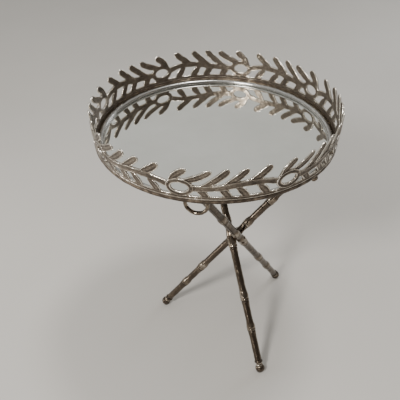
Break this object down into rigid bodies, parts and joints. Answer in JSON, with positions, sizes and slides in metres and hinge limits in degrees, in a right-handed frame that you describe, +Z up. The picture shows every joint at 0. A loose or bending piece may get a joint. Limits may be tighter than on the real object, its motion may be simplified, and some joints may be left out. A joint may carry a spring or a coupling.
{
  "type": "tray table",
  "caption": "Round mirror tray with a pierced laurel-leaf gallery, lifting off a tripod of crossed bamboo-style metal rods; a hanging ring swings under the tray.",
  "frame": {"origin": "on the floor, under the centre of the round tray", "axes": "+Z up; +Y away from the side that shows the hanging ring, so -Y is the front; +X to the right"},
  "size_m": [0.4888, 0.4888, 0.595],
  "materials": {
    "rod_metal": "antiqued silver-toned brass, worn bright on the knuckles",
    "leaf_metal": "cast, antiqued silver-toned brass, brown in the hollows",
    "rim_metal": "dark bronze-brown antique finish",
    "bead_metal": "polished silver, lightly aged",
    "dark_metal": "dark antique finish",
    "mirror": "clear silvered mirror",
    "felt": "dark green felt",
    "board": "brown-stained fibreboard",
    "rubber": "matt black"
  },
  "bodies": {
    "stand": {"rod_left": "rod_metal", "rod_front": "rod_metal", "rod_back": "rod_metal", "foot_knob_left": "rod_metal", "foot_knob_front": "rod_metal", "foot_knob_back": "rod_metal", "foot_glides": "rubber", "cross_rivets": "dark_metal", "seat_left": "dark_metal", "seat_front": "dark_metal", "seat_back": "dark_metal", "seat_pads": "felt"},
    "tray": {"tray_rim": "rim_metal", "gallery_branch_1": "leaf_metal", "gallery_branch_2": "leaf_metal", "gallery_branch_3": "leaf_metal", "gallery_branch_4": "leaf_metal", "gallery_branch_5": "leaf_metal", "gallery_branch_6": "leaf_metal", "gallery_branch_7": "leaf_metal", "gallery_branch_8": "leaf_metal", "bead_ring": "bead_metal", "mirror_glass": "mirror", "mirror_pad": "felt", "base_board": "board", "base_screws": "dark_metal", "ball_foot_1": "rim_metal", "ball_foot_2": "rim_metal", "ball_foot_3": "rim_metal", "ring_eye": "dark_metal"},
    "ring": {"drop_ring": "rod_metal"}
  },
  "joints": [
    {"name": "tray_lift", "type": "slide", "parent": "stand", "child": "tray", "axis": [0, 0, 1], "range_m": [0, 0.1]},
    {"name": "ring_swing", "type": "hinge", "parent": "tray", "child": "ring", "pos_m": [-0.03909, -0.18389, 0.5035], "axis": [0.9613, -0.2756, 0], "range_deg": [-80, 30]}
  ]
}
